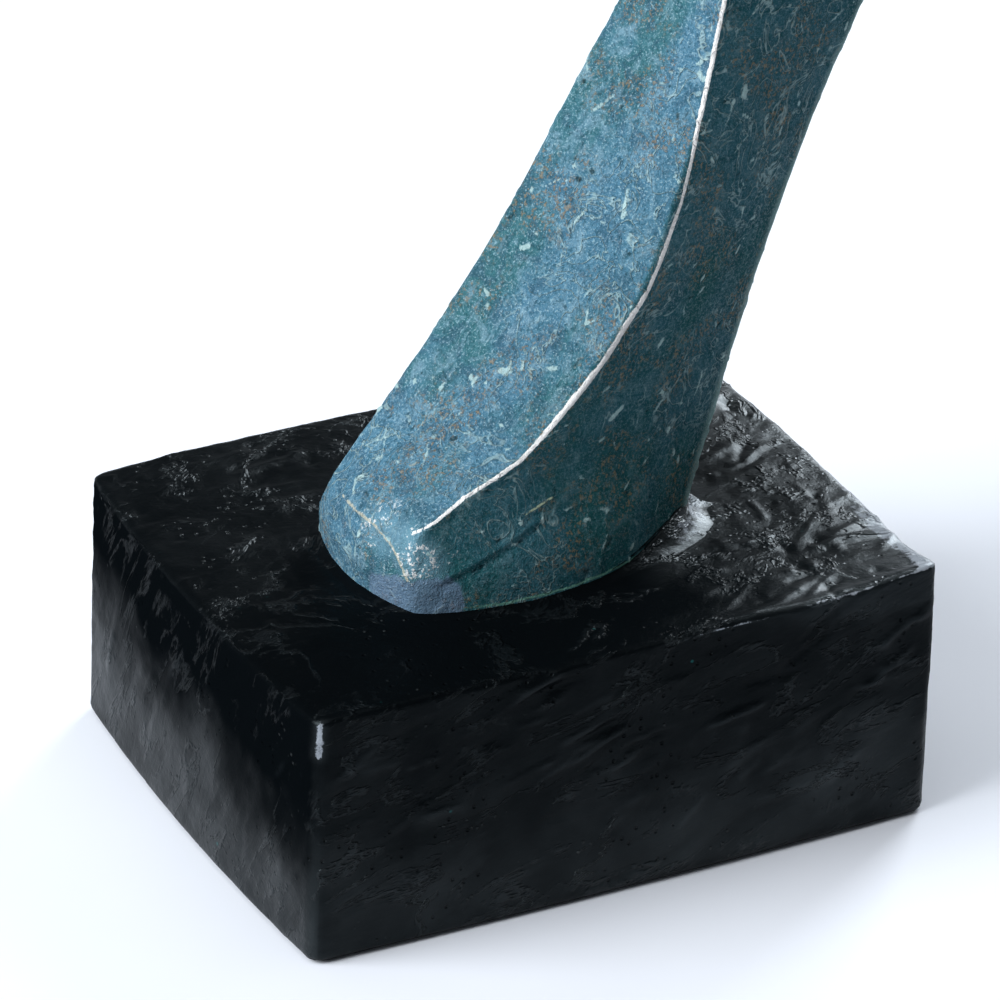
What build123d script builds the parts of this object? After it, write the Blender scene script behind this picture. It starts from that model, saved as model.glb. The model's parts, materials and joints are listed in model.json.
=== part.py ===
"""A small display plinth with the foot of the figure that it carries.

The plinth is a hand-worked block of black cast resin. The foot of a hollow, patinated casting is
bedded in a shallow seat in its top and pulled down by two studs, whose nuts sit in recesses under
the block, behind the felt. The casting leans towards +X and ends in a flat joint face, where the rest of the
figure is bolted on.

Frame: origin at the centre of the felt's underside, +X along the block's long side, -Y towards
the viewer, +Z up. Millimetres.
"""
from build123d import *
import os
from math import cos, radians, sin

# --- the block -------------------------------------------------------------------------------
BLOCK_LENGTH = 118.0
BLOCK_DEPTH = 92.0
BLOCK_HEIGHT = 47.0
LEFT_BOW, RIGHT_BOW, FRONT_BOW, BACK_BOW = 2.0, 1.4, 0.8, 1.2
DRAFT_DEG = 0.4
CORNER_RADIUS = 3.0
TOP_EDGE_RADIUS = 1.2
BOTTOM_EDGE_CHAMFER = 0.5

# --- the felt under it -----------------------------------------------------------------------
FELT_THICKNESS = 1.2
FELT_PROUD = 0.6
FELT_INSET = 5.0
FELT_GAP = 0.3

# --- the seat for the foot -------------------------------------------------------------------
SEAT_DEPTH = 3.0
BED_GAP = 0.8
COVE_WIDTH = 4.5
COVE_HEIGHT = 2.4
COVE_LIP = 0.8

# --- the casting -----------------------------------------------------------------------------
SOLE_THICKNESS = 9.0
CORNER_ROUND = 4.5
JOINT_TILT_DEG = 30.0
JOINT_CENTRE = (53.0, 4.5)
JOINT_RISE = 108.0
JOINT_PLATE_THICKNESS = 16.0

# --- M6 fixings ------------------------------------------------------------------------------
STUD_RADIUS = 3.0
STUD_GROOVE = 0.35
STUD_PITCH = 1.0
STUD_CLEARANCE = 0.3
STUD_SPACING = 20.0
STUD_LINE_Y = -3.0
RECESS_RADIUS = 8.0
RECESS_DEPTH = 24.0
WASHER_RADIUS, WASHER_THICKNESS = 7.0, 1.6
LOCK_RADIUS, LOCK_THICKNESS, LOCK_SLIT, LOCK_SLIT_DEG = 5.5, 1.6, 1.0, 35.0
NUT_ACROSS_FLATS, NUT_THICKNESS = 10.0, 5.0
STUD_BELOW_NUT = 2.0

# --- inside the casting ----------------------------------------------------------------------
ANCHOR_LENGTH, ANCHOR_WIDTH, ANCHOR_THICKNESS, ANCHOR_CORNER_RADIUS = 32.0, 18.0, 7.0, 4.0
ARMATURE_RADIUS = 4.0
ARMATURE_RISE = 14.0
ARMATURE_BEND = 20.0
ARMATURE_SOCKET = 5.0
INSERT_RADIUS, INSERT_BORE_RADIUS, INSERT_LENGTH = 4.5, 2.5, 9.0
PIN_RADIUS, PIN_SHANK_RADIUS = 2.0, 2.25
PIN_LENGTH, PIN_PROUD, PIN_SPACING = 12.0, 5.0, 18.0
EDGE_BREAK = 0.5

BLOCK_FLOOR = FELT_PROUD
BLOCK_TOP = BLOCK_FLOOR + BLOCK_HEIGHT
SOLE = BLOCK_TOP - SEAT_DEPTH + BED_GAP

# The casting's outline at rising heights above the block's top. Each row holds the height, then
# the plan place of the left edge, the bulge of the left flank, the front ridge, the bulge of the
# front flank, the right corner, and the two points of the rounded back.
OUTLINES = [
    (-3.0, (-30.6, 10.6), 3.4, (-28.4, -21.4), 7.0, (27.0, -13.8), (24.4, 12.6), (-8.0, 19.6)),
    (0.0, (-31.0, 10.8), 3.5, (-28.8, -21.6), 7.2, (27.6, -13.8), (25.0, 13.0), (-8.0, 20.0)),
    (7.0, (-32.0, 9.0), 3.3, (-29.6, -21.2), 6.8, (31.0, -11.5), (28.5, 14.0), (-6.0, 20.0)),
    (13.0, (-30.6, 6.8), 2.9, (-28.6, -20.6), 4.9, (33.5, -10.4), (31.2, 14.0), (-3.4, 19.6)),
    (16.5, (-28.6, 6.2), 2.5, (-24.6, -20.3), 4.0, (34.9, -9.8), (32.7, 14.0), (-1.7, 19.3)),
    (20.0, (-26.0, 6.0), 2.0, (-18.6, -20.2), 3.1, (36.4, -9.2), (34.2, 14.0), (0.5, 19.0)),
    (25.0, (-21.8, 6.0), 1.5, (-8.6, -20.2), 2.2, (38.0, -8.6), (36.0, 14.0), (4.0, 19.0)),
    (32.0, (-16.5, 6.0), 1.2, (-1.2, -20.0), 1.6, (40.9, -7.3), (39.0, 14.0), (8.0, 18.5)),
    (41.0, (-9.9, 6.0), 1.0, (6.3, -19.6), 1.2, (44.5, -6.0), (42.5, 14.0), (13.0, 18.3)),
    (52.0, (-2.3, 6.0), 0.9, (14.0, -18.8), 1.0, (48.8, -5.0), (46.7, 14.0), (21.0, 18.0)),
    (66.0, (6.0, 6.5), 0.8, (20.0, -17.0), 0.9, (54.4, -4.0), (52.2, 14.0), (29.0, 17.5)),
    (80.0, (14.2, 7.0), 0.7, (25.9, -14.2), 0.8, (60.9, -3.0), (58.6, 13.8), (37.5, 17.2)),
    (100.0, (26.0, 7.5), 0.6, (31.3, -11.0), 0.8, (71.6, -1.5), (69.0, 13.8), (48.5, 17.0)),
    (124.0, (40.5, 8.0), 0.5, (38.0, -8.0), 0.8, (84.0, 0.0), (81.5, 14.0), (62.0, 17.5)),
]
SECTION_SPACING = 3.2

# The core that leaves the casting hollow: height, centre and half sizes of its oval.
CORE = [
    (SOLE_THICKNESS - SEAT_DEPTH, (-1.0, -3.0), 25.0, 15.0),
    (24.0, (8.0, 0.0), 21.5, 12.5),
    (40.0, (18.0, 1.0), 19.5, 11.5),
    (60.0, (28.0, 2.5), 17.0, 10.0),
    (80.0, (38.0, 4.5), 16.0, 8.5),
    (100.0, (49.0, 6.0), 15.5, 7.3),
    (124.0, (61.5, 7.5), 14.5, 6.8),
]

joint_tilt = radians(JOINT_TILT_DEG)
joint_plane = Plane(
    origin=(*JOINT_CENTRE, BLOCK_TOP + JOINT_RISE),
    x_dir=(cos(joint_tilt), 0, -sin(joint_tilt)),
    z_dir=(sin(joint_tilt), 0, cos(joint_tilt)),
)
stud_places = {
    "left": (-STUD_SPACING / 2, STUD_LINE_Y),
    "right": (STUD_SPACING / 2, STUD_LINE_Y),
}
BASE = (Align.CENTER, Align.CENTER, Align.MIN)


def save(part, label):
    """Names a finished piece and writes its STEP."""
    part.label = label
    os.makedirs("parts", exist_ok=True)
    export_step(part, f"parts/{label}.step")


def block_outline(grow=0.0):
    """The block's plan: four sides, each bowed out a little."""
    x, y = BLOCK_LENGTH / 2 + grow, BLOCK_DEPTH / 2 + grow
    ThreePointArc((-x, -y), (0, -y - FRONT_BOW), (x, -y))
    ThreePointArc((x, -y), (x + RIGHT_BOW, 0), (x, y))
    ThreePointArc((x, y), (0, y + BACK_BOW), (-x, y))
    ThreePointArc((-x, y), (-x - LEFT_BOW, 0), (-x, -y))


def outline_at(height):
    """The row of numbers at any height, eased from row to row without overshoot."""
    heights = [row[0] for row in OUTLINES]
    rows = [[n for item in row[1:] for n in (item if isinstance(item, tuple) else (item,))]
            for row in OUTLINES]
    low = max(i for i in range(len(rows) - 1) if heights[i] <= height)
    span = heights[low + 1] - heights[low]
    t = (height - heights[low]) / span

    def rise(i, j):
        return (rows[i + 1][j] - rows[i][j]) / (heights[i + 1] - heights[i])

    def slope(i, j):
        if i in (0, len(rows) - 1):
            return rise(min(i, len(rows) - 2), j)
        before, after = rise(i - 1, j), rise(i, j)
        return 0.0 if before * after <= 0 else 2 * before * after / (before + after)

    return [
        (2 * t**3 - 3 * t**2 + 1) * rows[low][j]
        + (t**3 - 2 * t**2 + t) * span * slope(low, j)
        + (3 * t**2 - 2 * t**3) * rows[low + 1][j]
        + (t**3 - t**2) * span * slope(low + 1, j)
        for j in range(len(rows[0]))
    ]


def casting_outline(height, grow=0.0):
    """Draws the casting's outline: left flank, front flank, and the rounded back."""
    row = outline_at(height)
    left_bulge, front_bulge = row[2], row[5]
    corners = [Vector(row[i], row[i + 1]) for i in (0, 3, 6, 8, 10)]
    centre = sum(corners, Vector()) * (1 / len(corners))
    left, ridge, right, back_right, back_left = [
        corner + (corner - centre).normalized() * grow for corner in corners
    ]
    side, front = (ridge - left).normalized(), (right - ridge).normalized()
    side_out, front_out = Vector(side.Y, -side.X), Vector(front.Y, -front.X)
    turn = right - front * CORNER_ROUND
    rounded = right - front_out * (CORNER_ROUND * 0.45) - front * (CORNER_ROUND * 0.1)
    ThreePointArc(left, (left + ridge) * 0.5 + side_out * left_bulge, ridge)
    ThreePointArc(ridge, (ridge + turn) * 0.5 + front_out * front_bulge, turn)
    Spline(turn, rounded, back_right, back_left, left)


def threaded_profile(bottom, top, thread_bottom, thread_top):
    """Half of a stud's section: a plain shank with thread grooves at both ends."""
    points = [(0, bottom), (STUD_RADIUS - STUD_GROOVE, bottom)]
    for start, stop in ((bottom, thread_bottom), (thread_top, top)):
        z = start
        while z < stop - STUD_PITCH * 0.99:
            points.append((STUD_RADIUS, z + STUD_PITCH / 2))
            points.append((STUD_RADIUS - STUD_GROOVE, z + STUD_PITCH))
            z += STUD_PITCH
        if start == bottom:
            points += [(STUD_RADIUS, z), (STUD_RADIUS, thread_top - STUD_PITCH / 2)]
    points.append((0, top))
    return points


# --- plinth block ----------------------------------------------------------------------------
with BuildPart() as plinth_block:
    with BuildSketch(Plane.XY.offset(BLOCK_FLOOR)):
        with BuildLine():
            block_outline()
        make_face()
    extrude(amount=BLOCK_HEIGHT, taper=DRAFT_DEG)
    upright = plinth_block.edges().filter_by(lambda e: abs((e @ 1 - e @ 0).Z) > BLOCK_HEIGHT / 2)
    fillet(upright, CORNER_RADIUS)
    fillet(plinth_block.faces().sort_by(Axis.Z)[-1].edges(), TOP_EDGE_RADIUS)
    chamfer(plinth_block.faces().sort_by(Axis.Z)[0].edges(), BOTTOM_EDGE_CHAMFER)
    # the rebate for the felt
    with BuildSketch(Plane.XY.offset(BLOCK_FLOOR)):
        with BuildLine():
            block_outline(-FELT_INSET)
        make_face()
    extrude(amount=FELT_THICKNESS - FELT_PROUD, mode=Mode.SUBTRACT)
    # the seat for the foot
    with BuildSketch(Plane.XY.offset(BLOCK_TOP)):
        with BuildLine():
            casting_outline(0, BED_GAP)
        make_face()
    extrude(amount=-SEAT_DEPTH, mode=Mode.SUBTRACT)
    # the stud holes, and the nut recesses bored from below
    for place in stud_places.values():
        with Locations((*place, BLOCK_FLOOR)):
            Cylinder(RECESS_RADIUS, RECESS_DEPTH, align=BASE, mode=Mode.SUBTRACT)
            Cylinder(STUD_RADIUS + STUD_CLEARANCE, BLOCK_HEIGHT, align=BASE, mode=Mode.SUBTRACT)
save(plinth_block.part, "plinth_block")

# --- felt ------------------------------------------------------------------------------------
with BuildPart() as felt_pad:
    with BuildSketch():
        with BuildLine():
            block_outline(-FELT_INSET - FELT_GAP)
        make_face()
    extrude(amount=FELT_THICKNESS)
save(felt_pad.part, "felt_pad")

# --- casting ---------------------------------------------------------------------------------
with BuildPart() as casting_core:
    for height, centre, half_x, half_y in CORE:
        with BuildSketch(Plane.XY.offset(BLOCK_TOP + height)):
            with Locations(centre):
                Ellipse(half_x, half_y)
    loft()
    split(bisect_by=joint_plane, keep=Keep.BOTTOM)

section_count = round((OUTLINES[-1][0] + SEAT_DEPTH) / SECTION_SPACING)
section_rise = (OUTLINES[-1][0] - SOLE + BLOCK_TOP) / section_count
with BuildPart() as casting_form:
    for i in range(section_count + 1):
        height = SOLE - BLOCK_TOP + i * section_rise
        with BuildSketch(Plane.XY.offset(BLOCK_TOP + height)):
            with BuildLine():
                casting_outline(height)
            make_face()
    loft()
    split(bisect_by=joint_plane, keep=Keep.BOTTOM)

with BuildPart() as figure_casting:
    add(casting_form.part)
    add(casting_core.part, mode=Mode.SUBTRACT)
    for place in stud_places.values():
        with Locations((*place, SOLE)):
            Cylinder(STUD_RADIUS + STUD_CLEARANCE, SOLE_THICKNESS, align=BASE, mode=Mode.SUBTRACT)
save(figure_casting.part, "figure_casting")

# --- bedding round the foot ------------------------------------------------------------------
with BuildPart() as bedding_fillet:
    with BuildSketch(Plane.XY.offset(SOLE - BED_GAP)):
        with BuildLine():
            casting_outline(0, BED_GAP)
        make_face()
    extrude(amount=SEAT_DEPTH)
    for height, grow in ((0, COVE_WIDTH), (COVE_HEIGHT, COVE_LIP)):
        with BuildSketch(Plane.XY.offset(BLOCK_TOP + height)):
            with BuildLine():
                casting_outline(0, grow)
            make_face()
    loft()
    add(casting_form.part, mode=Mode.SUBTRACT)
    for place in stud_places.values():
        with Locations((*place, SOLE - BED_GAP)):
            Cylinder(STUD_RADIUS + STUD_CLEARANCE, BED_GAP, align=BASE, mode=Mode.SUBTRACT)
save(bedding_fillet.part, "bedding_fillet")

# --- studs, washers and nuts -----------------------------------------------------------------
recess_ceiling = BLOCK_FLOOR + RECESS_DEPTH
washer_floor = recess_ceiling - WASHER_THICKNESS
lock_floor = washer_floor - LOCK_THICKNESS
nut_floor = lock_floor - NUT_THICKNESS
anchor_floor = BLOCK_TOP - SEAT_DEPTH + SOLE_THICKNESS
anchor_top = anchor_floor + ANCHOR_THICKNESS

for side, place in stud_places.items():
    with BuildPart() as mounting_stud:
        with BuildSketch(Plane.XZ):
            with BuildLine():
                profile = threaded_profile(
                    nut_floor - STUD_BELOW_NUT, anchor_top, recess_ceiling, anchor_floor
                )
                Polyline(*profile, close=True)
            make_face()
        revolve(axis=Axis.Z)
    save(mounting_stud.part.moved(Location((*place, 0))), f"mounting_stud_{side}")

    with BuildPart() as stud_washer:
        with Locations((*place, washer_floor)):
            Cylinder(WASHER_RADIUS, WASHER_THICKNESS, align=BASE)
            Cylinder(STUD_RADIUS + STUD_CLEARANCE, WASHER_THICKNESS, align=BASE, mode=Mode.SUBTRACT)
    save(stud_washer.part, f"stud_washer_{side}")

    with BuildPart() as lock_washer:
        with BuildSketch(Plane.XY.offset(lock_floor)):
            with Locations(place):
                Circle(LOCK_RADIUS)
                Circle(STUD_RADIUS + STUD_CLEARANCE, mode=Mode.SUBTRACT)
                Rectangle(
                    LOCK_SLIT, LOCK_RADIUS * 2, rotation=LOCK_SLIT_DEG,
                    align=(Align.CENTER, Align.MIN), mode=Mode.SUBTRACT,
                )
        extrude(amount=LOCK_THICKNESS)
    save(lock_washer.part, f"lock_washer_{side}")

    with BuildPart() as stud_nut:
        with BuildSketch(Plane.XY.offset(nut_floor)):
            with Locations(place):
                RegularPolygon(NUT_ACROSS_FLATS / 2, 6, major_radius=False)
                Circle(STUD_RADIUS, mode=Mode.SUBTRACT)
        extrude(amount=NUT_THICKNESS)
    save(stud_nut.part, f"stud_nut_{side}")

# --- anchor plate, armature and joint plate --------------------------------------------------
with BuildPart() as anchor_plate:
    with Locations((0, STUD_LINE_Y, anchor_floor)):
        Box(ANCHOR_LENGTH, ANCHOR_WIDTH, ANCHOR_THICKNESS, align=BASE)
    fillet(anchor_plate.edges().filter_by(Axis.Z), ANCHOR_CORNER_RADIUS)
    chamfer(anchor_plate.faces().sort_by(Axis.Z)[-1].edges(), EDGE_BREAK)
    for place in stud_places.values():
        with Locations((*place, anchor_floor)):
            Cylinder(STUD_RADIUS, ANCHOR_THICKNESS, align=BASE, mode=Mode.SUBTRACT)
    with Locations((0, STUD_LINE_Y, anchor_floor)):
        Cylinder(ARMATURE_RADIUS, ANCHOR_THICKNESS, align=BASE, mode=Mode.SUBTRACT)
save(anchor_plate.part, "anchor_plate")

joint_plate_floor = joint_plane.offset(-JOINT_PLATE_THICKNESS)
rod_end = joint_plate_floor.from_local_coords(Vector(0, 0, ARMATURE_SOCKET))
with BuildPart() as armature_rod:
    with BuildLine():
        foot_end = Vector(0, STUD_LINE_Y, anchor_floor)
        FilletPolyline(
            foot_end, foot_end + Vector(0, 0, ARMATURE_RISE),
            rod_end - joint_plane.z_dir * ARMATURE_RISE, rod_end, radius=ARMATURE_BEND,
        )
    with BuildSketch(Plane.XY.offset(anchor_floor)):
        with Locations((0, STUD_LINE_Y)):
            Circle(ARMATURE_RADIUS)
    sweep()
save(armature_rod.part, "armature_rod")

pin_places = {"left": -PIN_SPACING / 2, "right": PIN_SPACING / 2}
pin_floor = joint_plane.offset(PIN_PROUD - PIN_LENGTH)
with BuildPart() as joint_plate:
    add(casting_core.part)
    split(bisect_by=joint_plate_floor, keep=Keep.TOP)
    with Locations(joint_plate_floor):
        Cylinder(ARMATURE_RADIUS, ARMATURE_SOCKET, align=BASE, mode=Mode.SUBTRACT)
    with Locations(joint_plane.offset(-INSERT_LENGTH)):
        Cylinder(INSERT_RADIUS, INSERT_LENGTH, align=BASE, mode=Mode.SUBTRACT)
    with Locations(pin_floor):
        with Locations(*[(x, 0) for x in pin_places.values()]):
            Cylinder(PIN_SHANK_RADIUS, PIN_LENGTH, align=BASE, mode=Mode.SUBTRACT)
save(joint_plate.part, "joint_plate")

with BuildPart() as thread_insert:
    with Locations(joint_plane.offset(-INSERT_LENGTH)):
        Cylinder(INSERT_RADIUS, INSERT_LENGTH, align=BASE)
        Cylinder(INSERT_BORE_RADIUS, INSERT_LENGTH, align=BASE, mode=Mode.SUBTRACT)
save(thread_insert.part, "thread_insert")

for side, x in pin_places.items():
    with BuildPart() as locating_pin:
        with Locations(pin_floor):
            with Locations((x, 0)):
                Cylinder(PIN_SHANK_RADIUS, PIN_LENGTH - PIN_PROUD, align=BASE)
                Cylinder(PIN_RADIUS, PIN_LENGTH, align=BASE)
        rims = locating_pin.edges().filter_by(GeomType.CIRCLE)
        rims = rims.sort_by(Axis(joint_plane.origin, joint_plane.z_dir))
        chamfer([rims[0], rims[-1]], EDGE_BREAK)
    save(locating_pin.part, f"locating_pin_{side}")
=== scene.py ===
"""Looks for a small black display plinth and the patinated foot that is bedded in its top.

Laid out as an add-on: one operator for each piece or group of like pieces, and one for the stage.
Lengths inside the working functions are millimetres; meshes are in metres, in the model's frame.
"""
import json
import math

import bpy
import bmesh
import numpy as np
from mathutils import Matrix, Vector
from mathutils.bvhtree import BVHTree


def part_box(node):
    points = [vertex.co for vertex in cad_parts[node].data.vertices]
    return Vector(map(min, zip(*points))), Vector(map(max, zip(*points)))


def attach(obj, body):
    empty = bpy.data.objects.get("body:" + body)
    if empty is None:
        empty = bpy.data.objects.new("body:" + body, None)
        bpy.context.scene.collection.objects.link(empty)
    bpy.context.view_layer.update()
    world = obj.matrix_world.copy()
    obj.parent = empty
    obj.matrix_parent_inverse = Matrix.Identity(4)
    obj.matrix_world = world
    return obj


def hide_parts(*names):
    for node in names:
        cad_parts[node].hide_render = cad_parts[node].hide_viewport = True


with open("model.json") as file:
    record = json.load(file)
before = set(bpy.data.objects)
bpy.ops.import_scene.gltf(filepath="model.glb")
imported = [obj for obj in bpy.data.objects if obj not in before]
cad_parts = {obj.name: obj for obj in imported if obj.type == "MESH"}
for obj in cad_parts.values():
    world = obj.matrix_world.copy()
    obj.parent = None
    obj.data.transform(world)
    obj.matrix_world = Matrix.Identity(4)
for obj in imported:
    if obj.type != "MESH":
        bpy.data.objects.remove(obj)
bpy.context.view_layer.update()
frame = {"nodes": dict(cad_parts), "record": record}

bl_info = {
    "name": "Display plinth",
    "version": (1, 0, 0),
    "blender": (4, 5, 0),
    "location": "3D View > Sidebar > Plinth",
    "description": "Builds the surfaces, finishes and stage of a display plinth",
    "category": "Object",
}

MM = 0.001
BLOCK_LOW, BLOCK_HIGH = (np.array(corner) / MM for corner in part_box("plinth_block"))
BLOCK_TOP = float(BLOCK_HIGH[2])
BLOCK_FLOOR = float(BLOCK_LOW[2])

# Lines on the casting's skin: X and Y, and the height above the block.
RIDGE = [
    (-28.2, -18.9, 14.2), (-26.7, -19.7, 15.0), (-24.7, -20.1, 16.3), (-22.1, -20.0, 17.9),
    (-19.4, -19.7, 19.4), (-12.9, -20.0, 22.5), (-9.0, -20.2, 24.6), (-1.2, -20.0, 31.9),
    (6.7, -19.3, 40.2), (14.2, -18.5, 50.5), (17.9, -17.7, 57.9),
    (20.8, -16.6, 64.3), (23.1, -15.8, 70.9), (24.9, -14.6, 77.2), (27.9, -12.7, 87.0),
    (31.3, -11.0, 100.0), (38.0, -8.0, 124.0),
]
TOE_RIDGE = [
    (-32.2, -0.5, 13.0), (-32.4, -5.9, 13.0), (-32.1, -9.4, 13.0), (-31.7, -11.7, 13.0),
    (-31.3, -14.5, 12.2), (-31.0, -16.4, 11.6), (-30.6, -18.0, 10.1), (-30.3, -19.3, 8.5),
    (-29.9, -20.6, 6.4),
]
CRACK = [
    (-24.9, -22.4, 6.2), (-22.9, -22.5, 7.1), (-17.6, -22.6, 8.8), (-11.9, -22.4, 10.9),
    (-5.8, -21.4, 13.2),
]
SCRATCH = [(-8.5, -21.1, 14.6), (-3.1, -20.4, 16.2)]
KNUCKLE = [(-31.6, -12.5, 12.6), (-29.5, -18.5, 12.4), (-27.3, -21.0, 9.0)]
BLUE_PATCH = [(-31.5, -16.5, 1.5), (-29.0, -21.4, 2.0), (-25.2, -22.8, 2.0)]


# --- numbers ---------------------------------------------------------------------------------
def smooth(low, high, value):
    """0 below low, 1 above high, and an even ease between."""
    t = np.clip((value - low) / (high - low), 0.0, 1.0)
    return t * t * (3 - 2 * t)


def bump_at(distance, width):
    """A rounded hill, 1 at no distance."""
    return np.exp(-((distance / width) ** 2))


def lattice_noise(points, size, seed):
    """Smooth noise from -1 to 1 whose features are about size millimetres wide."""
    table = np.random.RandomState(seed).uniform(-1, 1, 8192)
    places = points / size + table[:3] * 50
    cell = np.floor(places).astype(np.int64)
    part = places - cell
    part = part * part * (3 - 2 * part)
    total = np.zeros(len(points))
    for corner in np.ndindex(2, 2, 2):
        at = cell + corner
        key = (at[:, 0] * 73856093) ^ (at[:, 1] * 19349663) ^ (at[:, 2] * 83492791)
        share = np.prod(np.where(np.array(corner), part, 1 - part), axis=1)
        total += table[key & 8191] * share
    return total


def layered_noise(points, size, seed, layers=3, fade=0.5):
    """Noise with finer and fainter noise laid over it."""
    total, weight = np.zeros(len(points)), 1.0
    for layer in range(layers):
        total += weight * lattice_noise(points, size * 0.47**layer, seed + layer)
        weight *= fade
    return total


def strokes(u, v, marks):
    """Height of a set of tool strokes over a flat face.

    Each mark is (u, v, angle, length, width, height, bend, edge). A stroke is a low swell with
    one steep side: edge below 1 makes the side on its left steeper.
    """
    total = np.zeros(len(u))
    for mark_u, mark_v, angle, length, width, height, bend, edge in marks:
        du, dv = u - mark_u, v - mark_v
        near = du * du + dv * dv < (length * 0.5 + 4 * width) ** 2
        if not near.any():
            continue
        c, s = math.cos(angle), math.sin(angle)
        along = du[near] * c + dv[near] * s
        across = dv[near] * c - du[near] * s - bend * along * along
        width_here = width * np.where(across > 0, edge, 1.0)
        fade = smooth(length * 0.5, length * 0.18, np.abs(along))
        total[near] += height * bump_at(across, width_here) * fade
    return total


def dabs(u, v, marks):
    """Round dents and lumps: each mark is (u, v, radius, height)."""
    total = np.zeros(len(u))
    for mark_u, mark_v, radius, height in marks:
        total += height * bump_at(np.hypot(u - mark_u, v - mark_v), radius)
    return total


def scatter_strokes(seed, count, box, angle, spread, length, width, height, bend=0.0, edge=0.4):
    """Seeded strokes inside box (u low, v low, u high, v high)."""
    r = np.random.RandomState(seed)
    return [
        (
            r.uniform(box[0], box[2]), r.uniform(box[1], box[3]),
            math.radians(angle + r.uniform(-spread, spread)),
            length * r.uniform(0.5, 1.4), width * r.uniform(0.6, 1.4),
            height * r.uniform(0.4, 1.2) * (1 if r.rand() < 0.75 else -1),
            bend * r.uniform(-1, 1), edge,
        )
        for _ in range(count)
    ]


def scatter_dabs(seed, count, box, radius, height):
    """Seeded dents and lumps inside box."""
    r = np.random.RandomState(seed)
    return [
        (
            r.uniform(box[0], box[2]), r.uniform(box[1], box[3]),
            radius * r.uniform(0.6, 1.5), height * r.uniform(-1, 1),
        )
        for _ in range(count)
    ]


def line_distance(points, line):
    """Distance from each point to a line of joined straight runs."""
    best = np.full(len(points), 1e9)
    for a, b in zip(np.array(line[:-1], float), np.array(line[1:], float)):
        run = b - a
        t = np.clip((points - a) @ run / max(run @ run, 1e-9), 0, 1)
        best = np.minimum(best, np.linalg.norm(points - a - t[:, None] * run, axis=1))
    return best


# --- meshes ----------------------------------------------------------------------------------
def coordinates(mesh):
    """Vertex places in millimetres."""
    flat = np.empty(len(mesh.vertices) * 3, np.float32)
    mesh.vertices.foreach_get("co", flat)
    return flat.reshape(-1, 3).astype(float) / MM


def set_coordinates(mesh, places):
    """Puts the vertices at places given in millimetres."""
    mesh.vertices.foreach_set("co", (places * MM).astype(np.float32).ravel())
    mesh.update()


def normals(mesh):
    """Which way the surface faces at each vertex."""
    flat = np.empty(len(mesh.vertices) * 3, np.float32)
    mesh.vertex_normals.foreach_get("vector", flat)
    return flat.reshape(-1, 3).astype(float)


def store(mesh, name, values):
    """Keeps one number per vertex on the mesh, for the finish to read."""
    layer = mesh.attributes.new(name, "FLOAT", "POINT")
    layer.data.foreach_set("value", values.astype(np.float32))


def soften(mesh, places, turns, share=0.5, back=0.515):
    """Evens out the places of a mesh's vertices; back undoes most of the shrinking."""
    edges = np.empty(len(mesh.edges) * 2, np.int32)
    mesh.edges.foreach_get("vertices", edges)
    a, b = edges.reshape(-1, 2).T
    count = np.bincount(np.concatenate([a, b]), minlength=len(places))[:, None]
    for turn in range(turns * 2):
        total = np.column_stack([
            np.bincount(a, places[b, i], len(places)) + np.bincount(b, places[a, i], len(places))
            for i in range(3)
        ])
        step = share if turn % 2 == 0 else -back
        places = places + step * (total / count - places)
    return places


def remeshed(node, name, voxel):
    """A new piece with a CAD node's shape, in even small faces."""
    piece = bpy.data.objects.new(name, frame["nodes"][node].data.copy())
    bpy.context.scene.collection.objects.link(piece)
    remesh = piece.modifiers.new("even faces", "REMESH")
    remesh.mode = "VOXEL"
    remesh.voxel_size = voxel * MM
    seen = piece.evaluated_get(bpy.context.evaluated_depsgraph_get())
    mesh = bpy.data.meshes.new_from_object(seen)
    piece.modifiers.clear()
    piece.data = mesh
    return piece


def shade(mesh):
    """Makes the faces look like one smooth surface."""
    mesh.polygons.foreach_set("use_smooth", [True] * len(mesh.polygons))


def place(piece, finish, slot_name, *nodes):
    """Gives a piece its finish and its part in the model."""
    piece.data.materials.clear()
    piece.data.materials.append(finish)
    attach(piece, "root")
    if nodes:
        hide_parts(*nodes)


# --- the block's worked surface --------------------------------------------------------------
TOP_STROKES = (
    scatter_strokes(11, 26, (20, -45, 58, 44), 25, 35, 16, 1.0, 0.36, 0.02, 0.6)
    + scatter_strokes(12, 40, (-57, -2, -16, 46), 18, 26, 15, 0.9, 0.2, 0.012, 0.6)
    + scatter_strokes(13, 8, (-56, -44, 10, -24), -10, 30, 16, 2.0, 0.06, 0.01)
    + scatter_strokes(14, 18, (-40, 24, 50, 46), 5, 30, 14, 1.0, 0.24, 0.015, 0.6)
    + scatter_strokes(15, 14, (36, -45, 60, 30), 60, 30, 12, 0.9, 0.34, 0.02, 0.6)
)
TOP_DABS = (
    scatter_dabs(21, 120, (20, -45, 58, 44), 0.8, 0.5)
    + scatter_dabs(22, 50, (-58, -6, -14, 46), 0.9, 0.3)
    + scatter_dabs(23, 10, (-58, -44, 14, -30), 0.8, 0.14)
    + [(-53.0, -17.0, 1.5, 0.75), (-52.0, -14.0, 1.0, 0.6), (-54.5, -26.0, 1.1, 0.6),
       (-52.0, -8.0, 1.0, 0.4), (-50.0, -22.0, 0.8, 0.4)]
)
FRONT_STROKES = (
    scatter_strokes(31, 60, (-56, 24, 58, 47), 16, 18, 13, 0.95, 0.46, 0.006, 0.5)
    + scatter_strokes(32, 30, (-56, 6, 56, 28), 24, 22, 11, 1.1, 0.24, 0.006, 0.5)
)
LEFT_STROKES = (
    scatter_strokes(41, 60, (-46, 14, 44, 47), 118, 12, 16, 0.95, 0.22, 0.004, 0.5)
    + scatter_strokes(42, 20, (-46, 0, 40, 24), 104, 10, 18, 1.6, 0.12, 0.002, 0.6)
)
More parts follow.
